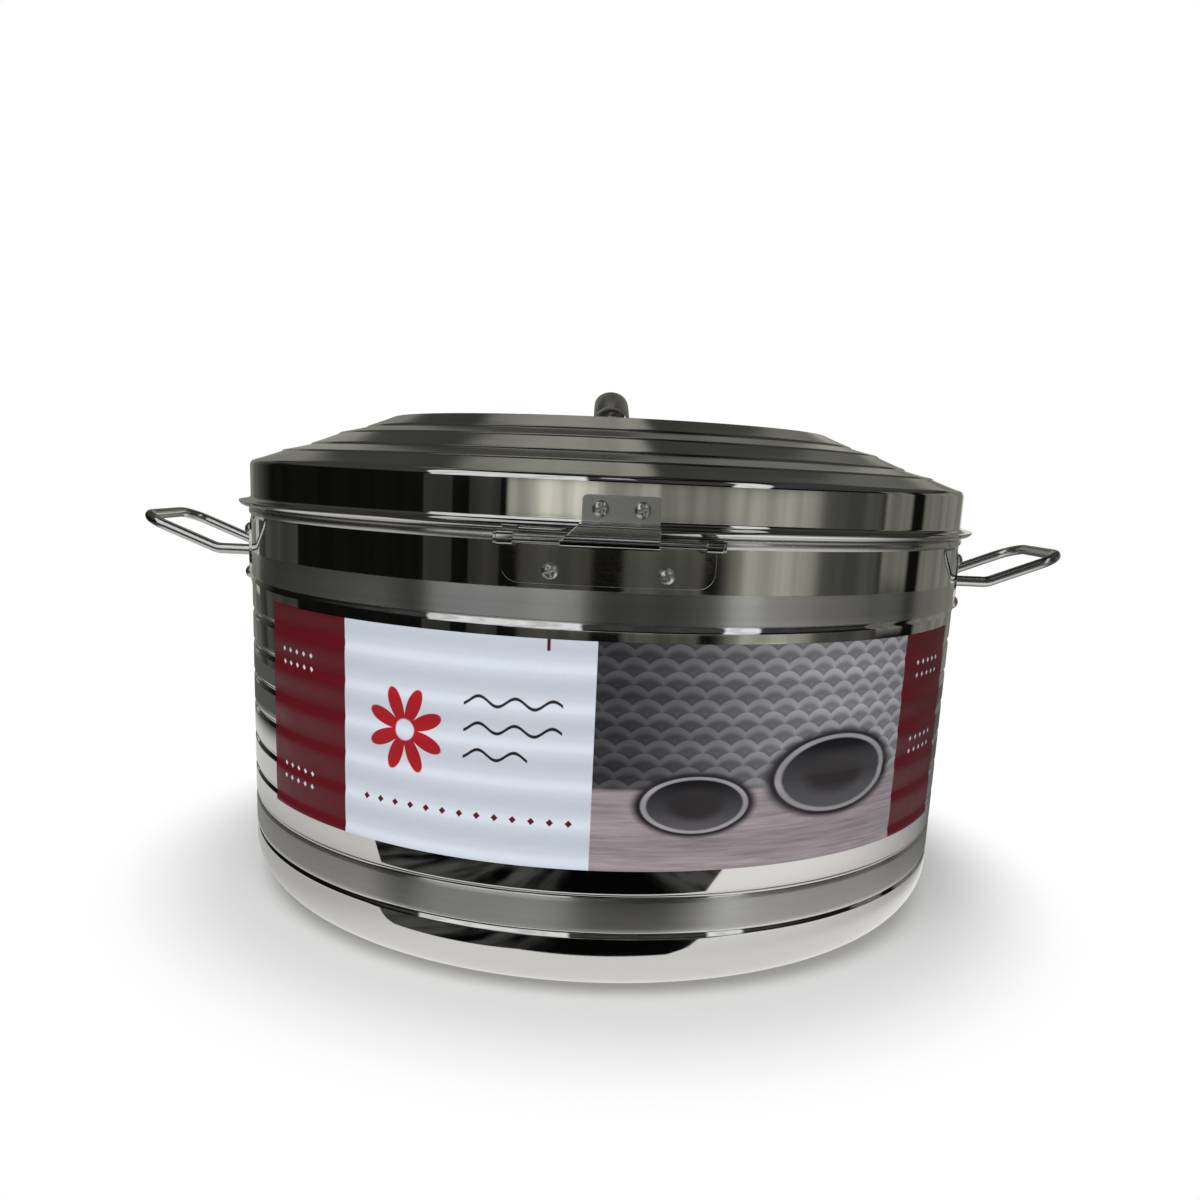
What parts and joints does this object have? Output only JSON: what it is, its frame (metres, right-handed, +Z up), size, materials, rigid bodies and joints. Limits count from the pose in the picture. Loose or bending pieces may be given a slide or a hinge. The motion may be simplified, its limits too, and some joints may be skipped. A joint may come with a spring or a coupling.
{
  "type": "insulated serving pot with hinged lid",
  "caption": "Double-walled steel food pot with a ringed, hinged lid, a bow handle on the lid, wire handles at the sides, rolled grooves and a wide paper label.",
  "frame": {"origin": "centre of the base, on the surface that the pot stands on", "axes": "+Z up along the pot's axis, +X towards the right handle seen from the hinge's side, -Y towards the hinge"},
  "size_m": [0.5784, 0.4562, 0.3063],
  "materials": {
    "polished_steel": "polished stainless steel with brushed bands",
    "brushed_steel": "stainless steel brushed round the axis",
    "fasteners": "plated steel",
    "label": "glossy printed paper",
    "foam": "matt rigid foam"
  },
  "bodies": {
    "pot": {"outer_shell": "polished_steel", "base_plate": "brushed_steel", "inner_bowl": "brushed_steel", "body_insulation": "foam", "wrap_label": "label", "left_handle_plate": "polished_steel", "left_handle_loop": "polished_steel", "left_handle_rivets": "fasteners", "right_handle_plate": "polished_steel", "right_handle_loop": "polished_steel", "right_handle_rivets": "fasteners", "hinge_body_leaf": "brushed_steel", "hinge_body_screws": "fasteners", "hinge_body_nuts": "fasteners", "hinge_pin": "fasteners"},
    "lid": {"lid_shell": "brushed_steel", "lid_pan": "brushed_steel", "lid_insulation": "foam", "lid_bow_handle": "brushed_steel", "lid_handle_rivets": "fasteners", "hinge_lid_leaf": "brushed_steel", "hinge_lid_screws": "fasteners", "hinge_lid_nuts": "fasteners"}
  },
  "joints": [
    {"name": "lid_hinge", "type": "hinge", "parent": "pot", "child": "lid", "pos_m": [0, -0.2265, 0.2254], "axis": [1, 0, 0], "range_deg": [0, 100]}
  ]
}
